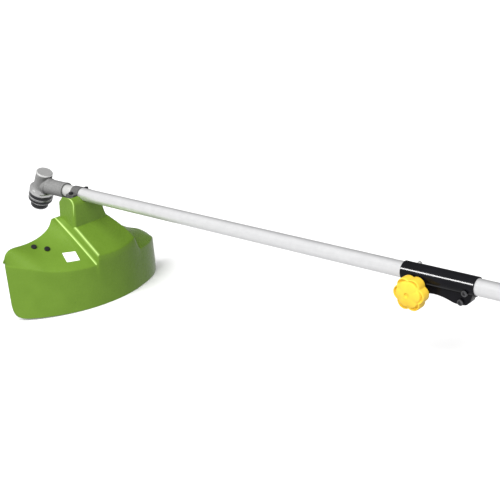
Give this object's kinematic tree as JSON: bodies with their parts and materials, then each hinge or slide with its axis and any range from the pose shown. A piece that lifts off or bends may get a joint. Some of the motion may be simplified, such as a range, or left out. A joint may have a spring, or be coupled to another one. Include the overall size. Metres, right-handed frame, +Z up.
{
  "type": "electric brush cutter",
  "caption": "Mains electric brush cutter with a split shaft, a bevel gear head, a green guard, a clamped shaft coupler, a tilting loop handle and a motor unit with a trigger.",
  "frame": {"origin": "centre of the bottom of the bounding box, on the floor the machine lies on", "axes": "+X along the machine from the gear head to the motor, +Y to the side away from the clamp knob, +Z up"},
  "size_m": [1.8536, 0.3746, 0.2709],
  "materials": {
    "black_gloss": "glossy black",
    "bright_steel": "turned bright steel",
    "anodised_tube": "silver anodised tube",
    "natural_nylon": "natural nylon",
    "black_plastic": "matt black",
    "black_screw": "black oxide",
    "housing_green": "moulded green plastic, fine grain",
    "core_steel": "machined steel",
    "carbon": "pressed carbon",
    "spring_steel": "dark spring steel",
    "cast_alloy": "blasted casting",
    "guard_green": "moulded green plastic, satin to glossy",
    "black_steel": "glossy black coated steel",
    "knob_yellow": "yellow plastic, satin",
    "copper_winding": "varnished copper wire",
    "brass": "turned brass",
    "rubber_grip": "soft black grip"
  },
  "bodies": {
    "upper_unit": {"coupler_body": "black_gloss", "clamp_nut": "bright_steel", "coupler_screw_upper": "bright_steel", "coupler_screw_lower": "bright_steel", "upper_tube": "anodised_tube", "upper_shaft_bush": "natural_nylon", "handle_clamp": "black_plastic", "handle_bolt": "black_screw", "harness_clamp": "black_plastic", "harness_screw": "bright_steel", "housing_left": "housing_green", "housing_right": "housing_green", "motor_stator": "core_steel", "motor_front_bearing": "bright_steel", "motor_rear_bearing": "bright_steel", "brush_left": "carbon", "brush_right": "carbon", "switch_block": "black_plastic", "mains_inlet": "black_plastic", "trigger_spring": "spring_steel", "housing_screw_front": "black_screw", "housing_screw_rear": "black_screw"},
    "lower_unit": {"gear_case": "cast_alloy", "gear_case_cap": "cast_alloy", "grease_screw": "bright_steel", "spindle_upper_bearing": "bright_steel", "spindle_lower_bearing": "bright_steel", "pinion_bearing": "bright_steel", "lower_tube": "anodised_tube", "lower_shaft_bush": "natural_nylon", "tube_lock_screw": "black_screw", "guard_bracket_upper": "cast_alloy", "guard_bracket_lower": "cast_alloy", "bracket_bolt_near": "black_screw", "bracket_bolt_far": "black_screw", "guard_shell": "guard_green", "guard_screw": "black_screw", "line_cutter_blade": "spring_steel", "cutter_screw_outer": "black_screw", "cutter_screw_inner": "black_screw"},
    "lower_shaft": {"lower_drive_shaft": "bright_steel", "pinion_gear": "core_steel"},
    "spindle_set": {"spindle": "bright_steel", "driven_gear": "core_steel", "inner_flange": "black_steel", "outer_flange": "black_steel", "nut_cover": "black_steel", "spindle_nut": "bright_steel"},
    "detent_button": {"detent_button": "bright_steel"},
    "knob_carrier": {"clamp_washer": "bright_steel"},
    "clamp_knob": {"clamp_knob": "knob_yellow", "clamp_stud": "bright_steel"},
    "rotor": {"armature": "copper_winding", "commutator": "brass", "cooling_fan": "black_plastic", "upper_drive_shaft": "bright_steel"},
    "trigger": {"trigger": "black_plastic"},
    "lock_off": {"lock_off_button": "knob_yellow"},
    "loop_handle": {"loop_handle": "rubber_grip"},
    "harness_ring": {"harness_ring": "bright_steel"}
  },
  "joints": [
    {"name": "shaft_pull_out", "type": "slide", "parent": "upper_unit", "child": "lower_unit", "axis": [-0.9954, 0, 0.0962], "range_m": [0, 0.055]},
    {"name": "motor_spin", "type": "hinge", "parent": "upper_unit", "child": "rotor", "pos_m": [0.79227, -0.00404, 0.06714], "axis": [0.9954, 0, -0.0962], "continuous": true},
    {"name": "lower_shaft_spin", "type": "hinge", "parent": "lower_unit", "child": "lower_shaft", "pos_m": [-0.38723, -0.00404, 0.18115], "axis": [0.9954, 0, -0.0962], "continuous": true},
    {"name": "spindle_spin", "type": "hinge", "parent": "lower_unit", "child": "spindle_set", "pos_m": [-0.88491, -0.00404, 0.22925], "axis": [0.5154, 0, 0.857], "continuous": true},
    {"name": "button_press", "type": "slide", "parent": "lower_unit", "child": "detent_button", "axis": [-0.0833, -0.5, -0.862], "range_m": [0, 0.004], "stiffness_N_per_m": 500, "springref_m": -0.002},
    {"name": "knob_travel", "type": "slide", "parent": "upper_unit", "child": "knob_carrier", "axis": [0, -1, 0], "range_m": [0, 0.003]},
    {"name": "knob_turn", "type": "hinge", "parent": "knob_carrier", "child": "clamp_knob", "pos_m": [0.04438, -0.00404, 0.11783], "axis": [0, -1, 0], "range_deg": [0, 1080]},
    {"name": "trigger_pull", "type": "hinge", "parent": "upper_unit", "child": "trigger", "pos_m": [0.6866, -0.00404, 0.0653], "axis": [0, 1, 0], "range_deg": [0, 7], "stiffness_Nm_per_rad": 0.6, "springref_deg": -5.73, "deforming": ["trigger_spring"]},
    {"name": "lock_off_press", "type": "slide", "parent": "upper_unit", "child": "lock_off", "axis": [-0.0962, 0, -0.9954], "range_m": [0, 0.003], "stiffness_N_per_m": 500, "springref_m": -0.002},
    {"name": "handle_tilt", "type": "hinge", "parent": "upper_unit", "child": "loop_handle", "pos_m": [0.30724, -0.00404, 0.14215], "axis": [0, 1, 0], "range_deg": [-25, 25]},
    {"name": "ring_swing", "type": "hinge", "parent": "upper_unit", "child": "harness_ring", "pos_m": [0.44676, -0.00404, 0.07843], "axis": [0.9954, 0, -0.0962], "range_deg": [-60, 60]}
  ],
  "couplings": [
    {"joint": "lower_shaft_spin", "follows": "motor_spin", "ratio": 1},
    {"joint": "spindle_spin", "follows": "motor_spin", "ratio": -0.73684},
    {"joint": "knob_turn", "follows": "knob_travel", "rad_per_m": 6283.2}
  ]
}
